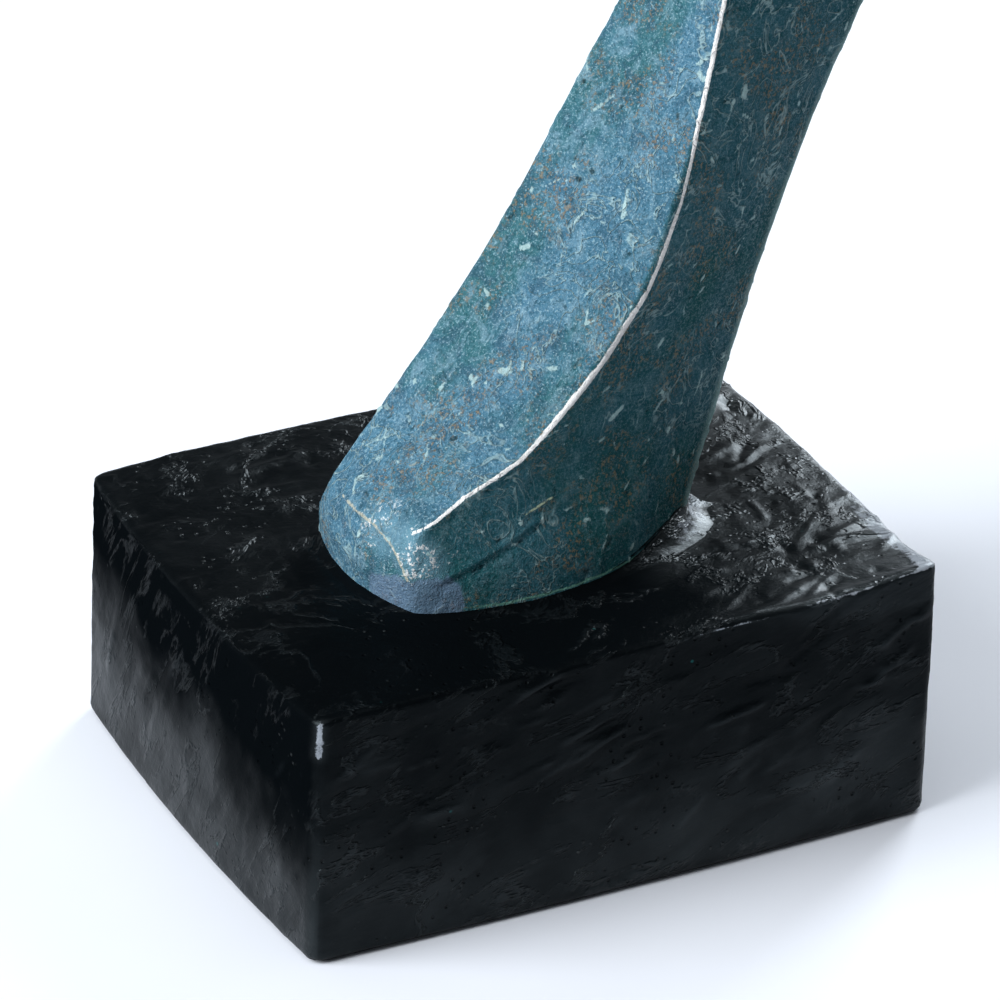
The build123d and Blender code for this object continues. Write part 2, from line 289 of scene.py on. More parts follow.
RIGHT_STROKES = scatter_strokes(51, 50, (-46, 4, 46, 47), 70, 25, 14, 1.0, 0.22, 0.006, 0.5)
BACK_STROKES = scatter_strokes(61, 60, (-58, 4, 58, 47), 160, 20, 14, 1.0, 0.24, 0.006, 0.5)
SIDE_DABS = scatter_dabs(71, 90, (-58, 2, 58, 46), 1.0, 0.24)
OUTER_BAND = 8.0  # nothing further in than this belongs to a side


def foot_distance(x, y):
    """How far each X and Y lies outside the foot's outline; less than nothing inside it."""
    best = np.full(len(x), 1e9)
    inside = np.zeros(len(x), bool)
    for (ax, ay), (bx, by) in zip(FOOT_OUTLINE, np.roll(FOOT_OUTLINE, -1, axis=0)):
        run_x, run_y = bx - ax, by - ay
        t = np.clip(((x - ax) * run_x + (y - ay) * run_y) / (run_x**2 + run_y**2), 0, 1)
        best = np.minimum(best, np.hypot(x - ax - t * run_x, y - ay - t * run_y))
        crosses = (ay > y) != (by > y)
        inside ^= crosses & (x < ax + (y - ay) * run_x / (run_y if run_y else 1e-9))
    return np.where(inside, -best, best)


def top_relief(x, y, strength):
    """How far the block's top stands above its level, at each X and Y."""
    flat = np.column_stack([x, y, np.zeros(len(x))])
    away = foot_distance(x, y)
    calm = 1 - 0.85 * bump_at(np.hypot((x + 18) / 36, (y + 34) / 14), 1.0)
    calm *= 0.08 + 0.92 * smooth(4.0, 10.0, away)
    height = 0.25 * layered_noise(flat, 26, 1, 2) * smooth(0.0, 8.0, away)
    height += calm * 0.11 * layered_noise(flat, 3.2, 4, 3)
    height += calm * (strokes(x, y, TOP_STROKES) + dabs(x, y, TOP_DABS))
    # faint rings that were drawn round the left of the foot
    rings = np.sin(away * 2.3 + 0.8 * lattice_noise(flat, 9, 7)) * smooth(13, 4, away)
    height += 0.045 * rings * smooth(4, -16, x) * (away > 0)
    # the lip that is drawn up at the right corner and along the right half of the front edge
    height += 2.6 * bump_at(np.hypot((x - 61) / 15, (y + 48) / 11), 1.0)
    height += 0.45 * bump_at(y + 45.5, 2.0) * smooth(2, 34, x)
    height -= 1.0 * smooth(46, 60, x) * smooth(-52, -34, y)
    height -= 0.5 * bump_at(x + 60, 8.0)
    return strength * height


def top_gloss(x, y):
    """How shiny the top is, 0 to 1: dull before the foot, shiny at its right."""
    flat = np.column_stack([x, y, np.zeros(len(x))])
    waver = 7 * layered_noise(flat, 12, 17, 2)
    shiny = smooth(13, 30, x + 0.2 * y + waver)
    back = smooth(-16, 26, y - 0.2 * x + waver)
    cove = smooth(11, 4, foot_distance(x, y)) * smooth(8, 22, x) * smooth(16, -2, y)
    lip = bump_at(np.hypot((x - 60) / 13, (y + 46) / 14), 1.0) + 0.6 * smooth(52, 58, x)
    return np.clip(0.07 + 0.42 * back + 0.5 * shiny + 0.6 * cove + 0.5 * lip, 0, 1)


def side_gloss(x, y, z, face):
    """How shiny a side is: dull under the top edge, and sanded and shinier lower down."""
    run = x if face in ("front", "back") else y
    flat = np.column_stack([run, z, np.zeros(len(run))])
    low, high, least, most = {
        "front": (16, 46, 0.15, 0.46), "back": (14, 40, 0.12, 0.5),
        "left": (15, 42, 0.0, 0.72), "right": (13, 34, 0.10, 0.6),
    }[face]
    depth = BLOCK_TOP - z + 5.5 * layered_noise(flat, 11, 19, 3)
    if face == "left":
        depth = depth + 0.08 * y
    return least + (most - least) * smooth(low, high, depth)


def side_relief(x, y, z, face, strength):
    """How far one side of the block stands out from its level."""
    run, marks, seed = {
        "left": (y, LEFT_STROKES, 81), "right": (y, RIGHT_STROKES, 83),
        "front": (x, FRONT_STROKES, 85), "back": (x, BACK_STROKES, 87),
    }[face]
    flat = np.column_stack([run, z, np.zeros(len(run))])
    worked = 0.35 + 0.65 * smooth(8, 30, z)
    height = 0.3 * layered_noise(flat, 22, seed, 2)
    height += worked * 0.13 * layered_noise(flat, 4.5, seed + 3, 3)
    height += strokes(run, z, marks) + worked * dabs(run, z, SIDE_DABS)
    return strength * height


def make_block(voxel, strength):
    """The block with its tool marks, and the gloss, and the wear and painted highlights, that its
    paint reads.
    """
    piece = remeshed("plinth_block", "plinth_block_worked", voxel)
    mesh = piece.data
    places, facing = coordinates(mesh), normals(mesh)
    x, y, z = places.T
    outer = (np.abs(x) > BLOCK_HIGH[0] - OUTER_BAND) | (np.abs(y) > BLOCK_HIGH[1] - OUTER_BAND)
    shares = {
        "left": smooth(0.3, 0.9, -facing[:, 0]) * outer,
        "right": smooth(0.3, 0.9, facing[:, 0]) * outer,
        "front": smooth(0.3, 0.9, -facing[:, 1]) * outer,
        "back": smooth(0.3, 0.9, facing[:, 1]) * outer,
    }
    foot = smooth(0.0, 3.0, z - BLOCK_FLOOR)
    side, side_shine = np.zeros(len(z)), np.zeros(len(z))
    for face, share in shares.items():
        side += share * foot * side_relief(x, y, z, face, strength)
        side_shine += share * side_gloss(x, y, z, face)
    top_share = smooth(BLOCK_TOP - 6, BLOCK_TOP - 0.2, z) * ((facing[:, 2] > 0.3) | outer)
    moved = places + facing * (side * (1 - smooth(0.6, 0.95, facing[:, 2])))[:, None]
    rise = top_relief(x, y, strength)
    moved[:, 2] += rise * top_share
    set_coordinates(mesh, moved)
    store(mesh, "relief", side + rise * top_share)
    store(mesh, "flank", np.clip(shares["left"] + shares["right"], 0, 1))

    up = smooth(0.5, 0.8, facing[:, 2])
    store(mesh, "gloss", up * top_gloss(x, y) + (1 - up) * side_shine)
    # paint worn off the top's front and right edges, and off the front left corner; these pale
    # patches are also painted highlights
    edge = bump_at(facing[:, 2] - 0.6, 0.3) * outer * smooth(BLOCK_TOP - 3, BLOCK_TOP - 1, z)
    lightened = 1.1 * edge * smooth(-8, 20, x) * (y < 0)
    lightened += 0.9 * up * smooth(54, 57, x) * smooth(14, -30, y)
    lightened += 0.9 * up * bump_at(np.hypot(x - 57.5, y + 45), 4.0)
    # painted highlight: a pale streak down the front left corner's edge
    tip = np.array([[-58.1, -45.2, BLOCK_TOP - 0.6], [-58.2, -45.3, BLOCK_TOP - 7.0]])
    lightened += 1.5 * bump_at(line_distance(places, tip), 1.1)
    store(mesh, "wear_and_highlight", np.clip(lightened, 0, 1.5))
    shade(mesh)
    return piece


# --- the casting's surface -------------------------------------------------------------------
CLEAR_OF_SKIN = 1.2  # how far off the skin a look outwards starts
ACROSS_CASTING = 80.0  # further than the casting is wide
FAR = 9.0  # stands for any greater distance from a line
SLICE = 2.0  # height of the slices that a contour is found in


def scratches(places, facing, outside, seed, count, length, width, height, lean):
    """Short raised and cut marks over a curved surface, lying mostly one way."""
    r = np.random.RandomState(seed)
    total = np.zeros(len(places))
    starts = np.flatnonzero(outside)
    for start in r.choice(starts, count):
        normal = facing[start]
        way = np.cross(normal, r.normal(size=3) * 0.7 + lean)
        way = np.cross(way, normal)
        way /= np.linalg.norm(way) + 1e-9
        reach = length * r.uniform(0.4, 1.5)
        near = np.flatnonzero(
            (np.abs(places - places[start]) < reach * 0.6 + 1).all(axis=1) & (outside > 0)
        )
        offset = places[near] - places[start]
        along = offset @ way
        side = np.cross(normal, way)
        bend = r.uniform(-0.04, 0.04)
        across = offset @ side - bend * along * along
        mark = bump_at(across, width * r.uniform(0.7, 1.3))
        mark *= smooth(reach * 0.5, reach * 0.3, np.abs(along))
        total[near] += height * r.uniform(0.5, 1.2) * (1 if r.rand() < 0.7 else -1) * mark
    return total


def make_casting(voxel, strength):
    """The casting's skin, marked and worn, with the distances that its finish reads and the masks
    of its painted shade and painted rim light.
    """
    piece = remeshed("figure_casting", "figure_casting_patinated", voxel)
    mesh = piece.data
    level = coordinates(mesh) - np.array([0, 0, BLOCK_TOP])
    skin = BVHTree.FromObject(piece, bpy.context.evaluated_depsgraph_get())
    places = soften(mesh, coordinates(mesh), 2)
    # the toe's corner is rounded off where it meets the block
    toe_foot = np.array([[-29.6, -20.9, BLOCK_TOP - 2.0], [-30.0, -20.4, BLOCK_TOP + 3.0]])
    near = bump_at(line_distance(places, toe_foot), 7.0)[:, None]
    places += near * (soften(mesh, places, 30, 0.5, 0.0) - places)
    set_coordinates(mesh, places)
    facing = normals(mesh)
    outside = outer_skin(places, facing)
    joint = joint_distance(places)
    worked = outside * smooth(0.3, 2.0, joint)
    above = smooth(-0.5, 1.0, level[:, 2])

    ridge, toe, crack, scratch, knuckle, patch = (
        line_distance(level, on_skin(skin, line))
        for line in (RIDGE, TOE_RIDGE, CRACK, SCRATCH, KNUCKLE, BLUE_PATCH)
    )
    waver = lattice_noise(places, 2.6, 301)
    patchy = smooth(-0.1, 0.6, lattice_noise(places, 16, 305))
    lean = np.array([0.4, -0.1, 1])
    height = 0.13 * layered_noise(places, 15, 310, 2)
    fine = 0.06 * layered_noise(places, 2.6, 320, 3) * (0.5 + patchy)
    fine += scratches(places, facing, outside, 331, 520, 5.0, 0.34, 0.15, lean)
    fine += scratches(places, facing, outside, 332, 420, 2.0, 0.42, 0.17, lean * 0.4)
    fine += scratches(places, facing, outside, 333, 260, 0.9, 0.6, -0.2, lean * 0.2)
    height += fine * smooth(0.4, 1.6, ridge)
    height += 0.14 * bump_at(ridge, 0.5) * (1 + 0.6 * waver) - 0.06 * bump_at(ridge - 1.6, 0.9)
    height += 0.22 * bump_at(toe, 0.6) * (1 + 0.6 * waver) - 0.2 * bump_at(toe - 1.6, 1.0)
    height += 0.22 * bump_at(scratch, 0.4) + 0.25 * bump_at(crack, 0.5)
    # the skin is sunk just under the crack's raised lip
    below = line_distance(level, on_skin(skin, [(x, y, z - 1.3) for x, y, z in CRACK]))
    height -= 0.3 * bump_at(below, 0.8)
    moved = places + facing * (height * strength * worked * above)[:, None]
    set_coordinates(mesh, moved)
    ridge_width = 0.7 + 0.3 * smooth(18, 34, level[:, 2]) + 0.4 * bump_at(level[:, 2] - 42, 13)
    kept = {
        "ridge": ridge / ridge_width, "toe_ridge": toe, "crack": below,
        "scratch": scratch, "knuckle": knuckle, "patch": patch,
    }
    for name, distance in kept.items():
        store(mesh, name, np.where(outside > 0, np.minimum(distance, FAR), FAR))
    store(mesh, "relief", fine * outside)
    store(mesh, "level", np.where(outside > 0, level[:, 2], FAR))
    store(mesh, "hem", smooth(-24, -12, level[:, 0]) * smooth(12, 0, level[:, 1]))
    # mask of a pale band painted as rim light along the right-hand contour
    store(mesh, "painted_rim_light", right_contour(places, facing) * outside)
    # mask of painted shade on the side facing right and front
    store(mesh, "shady", smooth(-0.15, 0.3, facing @ np.array([0.6, -0.8, -0.1])) * outside)
    shade(mesh)
    return piece


def right_contour(places, facing):
    """1 along the casting's right-hand contour and 0 from 2.4 mm inside it, on faces turned to
    the front, left and up: the mask of a pale band painted as rim light.
    """
    across = places @ np.array([0.891, -0.453, 0.0])
    rows = np.round(places[:, 2] / SLICE).astype(int)
    furthest = np.full(rows.max() + 1, -1e9)
    np.maximum.at(furthest, rows, across)
    limit = np.interp(places[:, 2], np.arange(len(furthest)) * SLICE, furthest)
    near_side = smooth(-0.25, 0.15, facing @ np.array([-0.41, -0.77, 0.49]))
    return smooth(2.4, 0.6, limit - across) * near_side


def on_skin(skin, line):
    """A line's points, a millimetre apart, each moved to the nearest place on the skin."""
    moved = []
    lift = np.array([0, 0, BLOCK_TOP])
    for a, b in zip(np.array(line[:-1], float), np.array(line[1:], float)):
        for t in np.linspace(0, 1, max(2, int(np.linalg.norm(b - a))), endpoint=False):
            spot = Vector((a + t * (b - a) + lift) * MM)
            moved.append(np.array(skin.find_nearest(spot)[0]) / MM - lift)
    moved.append(np.array(line[-1], float))
    return moved


def joint_frame():
    """Centre and axis of the casting's joint face, from the record."""
    mounts = {mount["name"]: mount for mount in frame["record"]["mounts"]}
    return np.array(mounts["joint_face"]["pos_m"]) / MM, np.array(mounts["joint_thread"]["axis"])


def joint_distance(places):
    """How far below the joint face each place lies."""
    centre, axis = joint_frame()
    return -(places - centre) @ axis


def casting_tree():
    """The CAD casting's surface, for finding where a line meets it."""
    casting = frame["nodes"]["figure_casting"]
    return BVHTree.FromObject(casting, bpy.context.evaluated_depsgraph_get())


def outer_skin(places, facing):
    """1 where a vertex lies on the outside of the casting: nothing is met along its normal."""
    tree = casting_tree()
    answer = np.ones(len(places))
    for i, (spot, way) in enumerate(zip(places * MM, facing)):
        start = Vector(spot + way * CLEAR_OF_SKIN * MM)
        if tree.ray_cast(start, Vector(way), ACROSS_CASTING * MM)[0] is not None:
            answer[i] = 0
    under = facing[:, 2] < -0.8
    answer[under & (places[:, 2] < BLOCK_TOP)] = 0
    return answer


# --- the bedding -----------------------------------------------------------------------------
def outline_of_foot(count):
    """The casting's outline at the block's top: even points in order, and their outward ways."""
    cut = bmesh.new()
    cut.from_mesh(frame["nodes"]["figure_casting"].data)
    level = (BLOCK_TOP + 0.05) * MM
    found = bmesh.ops.bisect_plane(
        cut, geom=cut.verts[:] + cut.edges[:] + cut.faces[:], plane_co=(0, 0, level),
        plane_no=(0, 0, 1),
    )["geom_cut"]
    points = np.array([v.co[:2] for v in found if isinstance(v, bmesh.types.BMVert)]) / MM
    cut.free()
    centre = points.mean(axis=0)
    # the stud holes' points all lie near the middle
    points = points[np.linalg.norm(points - centre, axis=1) > 12]
    angle = np.arctan2(points[:, 1] - centre[1], points[:, 0] - centre[0])
    points = points[np.argsort(angle)]
    loop = np.vstack([points, points[:1]])
    length = np.concatenate([[0], np.cumsum(np.linalg.norm(np.diff(loop, axis=0), axis=1))])
    even = np.linspace(0, length[-1], count, endpoint=False)
    ring = np.column_stack([np.interp(even, length, loop[:, i]) for i in (0, 1)])
    ahead, behind = np.roll(ring, -3, axis=0), np.roll(ring, 3, axis=0)
    way = ahead - behind
    out = np.column_stack([way[:, 1], -way[:, 0]])
    return ring, out / np.linalg.norm(out, axis=1)[:, None]


FOOT_OUTLINE = outline_of_foot(90)[0]
BED_ROWS = 16  # rows of faces down the cove
TUCKED_ROWS = 4  # of which these are kept out of the casting
BED_DEPTH = 3.0
BED_LIP = 6.0
SOLE_LIFT = 0.8


def make_bedding(strength):
    """A ring of filler: a cove swept up to the foot, and the lip that lies under the sole."""
    ring, out = outline_of_foot(420)
    flat = np.column_stack([ring, np.zeros(len(ring))])
    tree = casting_tree()
    # the sweep stands highest at the right of the foot
    swept = smooth(8, 27, ring[:, 0]) * smooth(16, -4, ring[:, 1])
    rise = 0.5 + 0.15 * layered_noise(flat, 9, 401, 2) + 3.2 * swept
    width = 3.4 + 0.4 * layered_noise(flat, 14, 411, 2) + 3.8 * swept
    rows = []
    for row in range(BED_ROWS + 1):
        t = row / BED_ROWS
        spread = width * t
        spot = ring + out * spread[:, None]
        top = BLOCK_TOP + top_relief(spot[:, 0], spot[:, 1], strength)
        lift = rise * (1 - t) ** 2.1 - 0.12 * t
        ruffle = 0.1 * layered_noise(np.column_stack([spot, flat[:, 2]]), 2.4, 421, 2)
        height = top + lift + ruffle * math.sin(math.pi * min(1.0, t * 1.2))
        if row == 0:
            spot = against_casting(tree, spot, out, height)
        elif row < TUCKED_ROWS:
            grown = against_casting(tree, ring, out, height)
            inside = ((spot - grown) * out).sum(axis=1) < 0
            spot[inside] = grown[inside]
        rows.append(np.column_stack([spot, height]))
    # from the cove's edge down the wall of the seat, and in under the sole
    edge, edge_top = rows[-1][:, :2], rows[-1][:, 2]
    wall = ring + out * SOLE_LIFT
    lip = ring - out * BED_LIP
    below_top = (
        (wall, 0.6), (wall, BED_DEPTH), (lip, BED_DEPTH), (lip, BED_DEPTH - SOLE_LIFT),
        (ring - out * 0.3, BED_DEPTH - SOLE_LIFT), (ring - out * 0.15, 0.0),
    )
    rows.append(np.column_stack([edge, edge_top - 0.35]))
    rows += [np.column_stack([spot, np.full(len(ring), BLOCK_TOP - z)]) for spot, z in below_top]
    count = len(ring)
    vertices = np.vstack(rows) * MM
    faces = []
    for row in range(len(rows)):
        here, there = row * count, (row + 1) % len(rows) * count
        for i in range(count):
            j = (i + 1) % count
            faces.append((here + i, there + i, there + j, here + j))
    mesh = bpy.data.meshes.new("bedding_fillet_swept")
    mesh.from_pydata(vertices.tolist(), [], faces)
    mesh.update()
    fix = bmesh.new()
    fix.from_mesh(mesh)
    bmesh.ops.recalc_face_normals(fix, faces=fix.faces[:])
    fix.to_mesh(mesh)
    fix.free()
    for name in ("relief", "flank"):
        store(mesh, name, np.zeros(len(mesh.vertices)))
    store(mesh, "gloss", top_gloss(*coordinates(mesh)[:, :2].T))
    # painted highlight: the cove's sweep at the right of the foot is painted pale, like rubbed
    # filler
    slope = np.repeat(np.arange(len(rows)) / BED_ROWS, count)
    rubbed_and_highlight = smooth(0.05, 0.25, slope) * smooth(0.95, 0.6, slope) * np.tile(swept, len(rows))
    store(mesh, "wear_and_highlight", 1.1 * rubbed_and_highlight)
    shade(mesh)
    piece = bpy.data.objects.new("bedding_fillet_swept", mesh)
    bpy.context.scene.collection.objects.link(piece)
    return piece


def against_casting(tree, spots, out, heights):
    """Moves each spot in or out to the casting's skin at its height, and just into it."""
    answer = spots.copy()
    for i, (spot, way, height) in enumerate(zip(spots, out, heights)):
        start = Vector((*(spot + way * 12), height)) * MM
        hit = tree.ray_cast(start, Vector((-way[0], -way[1], 0)), 0.03)[0]
        if hit is not None:
            answer[i] = np.array(hit[:2]) / MM - way * 0.12
    return answer


# --- finishes --------------------------------------------------------------------------------
class Value:
    """A number on a node's socket, usable in plain arithmetic."""

    def __init__(self, finish, socket):
        self.finish, self.socket = finish, socket

    def _math(self, operation, first, second):
        return self.finish.node("ShaderNodeMath", {"operation": operation}, {0: first, 1: second})

    def __add__(self, other):
        return self._math("ADD", self, other)

    __radd__ = __add__

    def __mul__(self, other):
        return self._math("MULTIPLY", self, other)

    __rmul__ = __mul__

    def __sub__(self, other):
        return self._math("SUBTRACT", self, other)

    def __rsub__(self, other):
        return self._math("SUBTRACT", other, self)

    def between(self, low, high):
        """0 below low and 1 above high, eased; low may be the larger."""
        return self.finish.node(
            "ShaderNodeMapRange", {"interpolation_type": "SMOOTHSTEP"},
            {"Value": self, "From Min": low, "From Max": high},
        )

    def held(self):
        """Kept from 0 to 1."""
        return self.finish.node(
            "ShaderNodeMapRange", {"clamp": True}, {"Value": self}
        )


class Finish:
    """A material, or the room's light, and the few ways its nodes are made."""

    def __init__(self, name, owner=None):
        self.material = owner or bpy.data.materials.new(name)
        self.material.use_nodes = True
        self.tree = self.material.node_tree
        kinds = {"BSDF_PRINCIPLED", "BACKGROUND"}
        self.shader = next(n for n in self.tree.nodes if n.type in kinds)
        self.output = next(n for n in self.tree.nodes if n.type.startswith("OUTPUT"))
        kind = "Generated" if self.shader.type == "BACKGROUND" else "Object"
        self.places = self.node("ShaderNodeTexCoord", {}, {}, kind)

    def node(self, kind, settings, values, output=0):
        """Adds a node: settings first, then the values or links of its sockets."""
        made = self.tree.nodes.new(kind)
        for name, setting in settings.items():
            setattr(made, name, setting)
        for socket, value in values.items():
            self.put(made.inputs[socket], value)
        return Value(self, made.outputs[output])

    def put(self, socket, value):
        """Links or sets one input."""
        if isinstance(value, Value):
            self.tree.links.new(value.socket, socket)
        elif socket.type == "RGBA" and len(value) == 3:
            socket.default_value = (*value, 1)
        else:
            socket.default_value = value

    def noise(self, scale, detail=4.0, roughness=0.55, places=None, distortion=0.0):
        """Noise about 0.5; scale counts features in a metre."""
        return self.node(
            "ShaderNodeTexNoise", {},
            {"Vector": places or self.places, "Scale": scale, "Detail": detail,
             "Roughness": roughness, "Distortion": distortion},
        )

    def cells(self, scale):
        """Distance from the middle of the nearest of many cells; scale counts them in a metre."""
        return self.node(
            "ShaderNodeTexVoronoi", {}, {"Vector": self.places, "Scale": scale}, "Distance",
        )

    def stretched(self, scale, turn=(0, 0, 0)):
        """Places turned by degrees about X, Y and Z, and then scaled."""
        angles = [math.radians(a) for a in turn]
        turned = self.node("ShaderNodeMapping", {}, {"Vector": self.places, "Rotation": angles})
        return self.node("ShaderNodeMapping", {}, {"Vector": turned, "Scale": scale})

    def kept(self, name):
        """A number stored on the mesh."""
        return self.node("ShaderNodeAttribute", {"attribute_name": name}, {}, "Fac")

    def mix(self, share, low, high):
        """Between two colours."""
        return self.node(
            "ShaderNodeMix", {"data_type": "RGBA"},
            {0: share, 6: low, 7: high}, 2,
        )

    def bump(self, height, strength, distance):
        """A normal tilted by a height; distance is the height's full range in millimetres."""
        return self.node(
            "ShaderNodeBump", {},
            {"Height": height, "Strength": strength, "Distance": distance * MM},
        )

    def set(self, **sockets):
        """Sets the shader's sockets; words join with a space."""
        for name, value in sockets.items():
            self.put(self.shader.inputs[name.replace("_", " ")], value)
        return self.material

    def overlaid(self, share, **sockets):
        """Lays a second surface over the first, where share is high."""
        values = {name.replace("_", " "): value for name, value in sockets.items()}
        over = self.node("ShaderNodeBsdfPrincipled", {}, values)
        under = Value(self, self.shader.outputs[0])
        both = self.node("ShaderNodeMixShader", {}, {0: share, 1: under, 2: over})
        self.put(self.output.inputs["Surface"], both)
        return self.material


def black_paint(name, base):
    """Black paint over tool marks, matt to glossy, with crumbs, pits, worn edges and crests; the
    paler crests are painted highlights, and the pale worn edges are wear and painted highlights.
    """
    f = Finish(name)
    relief, gloss, edge = f.kept("relief"), f.kept("gloss"), f.kept("wear_and_highlight")
    broad, fine = f.noise(90, 4, 0.6), f.noise(1100, 5, 0.65)
    crumbs = f.cells(560).between(0.26, 0.05) * f.noise(110, 3).between(0.57, 0.7)
    teal = f.cells(210).between(0.085, 0.04) * f.noise(40, 2).between(0.6, 0.66)
    lightened = (relief * 1.2 + 0.8 * broad - 0.35).between(0.35, 0.9)
    flank = f.kept("flank")
    front = f.noise(120, 5, 0.6, f.stretched((0.34, 0.5, 1.0), (0, 18, 0)), 0.5)
    side = f.noise(120, 5, 0.6, f.stretched((0.5, 1.0, 0.3), (-28, 0, 0)), 0.5)
    torn = front * (1 - flank) + side * flank
    crest_highlight = torn.between(0.465, 0.5) * torn.between(0.535, 0.5) * broad.between(0.44, 0.56)
    colour = f.mix(lightened * 0.3, base, (0.008, 0.0105, 0.0125))
    colour = f.mix(crumbs * 0.5, colour, (0.026, 0.03, 0.03))
    # painted highlight: the thin crests are painted paler
    colour = f.mix(crest_highlight * 0.12, colour, (0.017, 0.021, 0.024))
    colour = f.mix(teal * 0.75, colour, (0.012, 0.10, 0.10))
    # pale patches of worn paint, which also serve as painted highlights
    bare_and_highlight = (edge * 0.7 + fine + 0.8 * broad - 1.15).between(0.36, 0.56) * edge.between(0.1, 0.5)
    colour = f.mix(bare_and_highlight, colour, (0.22, 0.24, 0.27))
    drag = f.noise(300, 4, 0.55, f.stretched((0.35, 1, 1), (0, 0, 25)))
    pits = f.cells(480).between(0.24, 0.0) * f.noise(70, 2).between(0.5, 0.62)
    height = 0.4 * drag + 0.12 * fine + 0.9 * crumbs - 0.8 * pits + 1.1 * torn + 0.6 * crest_highlight
    normal = f.bump(height, 1.0, 0.5)
    raised = relief.between(0.05, 0.6)
    shine = gloss * (0.26 + 0.9 * broad + 0.25 * torn.between(0.4, 0.6) + 0.9 * raised)
    shine = (shine + crumbs * 0.35 + crest_highlight * 0.12 + edge * 0.3).held()
    f.set(Base_Color=colour, Roughness=0.6, Specular_IOR_Level=0.0, Normal=normal)
    return f.overlaid(
        shine, Base_Color=colour, Roughness=0.18 + 0.16 * broad + 0.12 * fine,
        Specular_IOR_Level=0.5, Specular_Tint=(0.8, 0.95, 1.0), Normal=normal,
    )


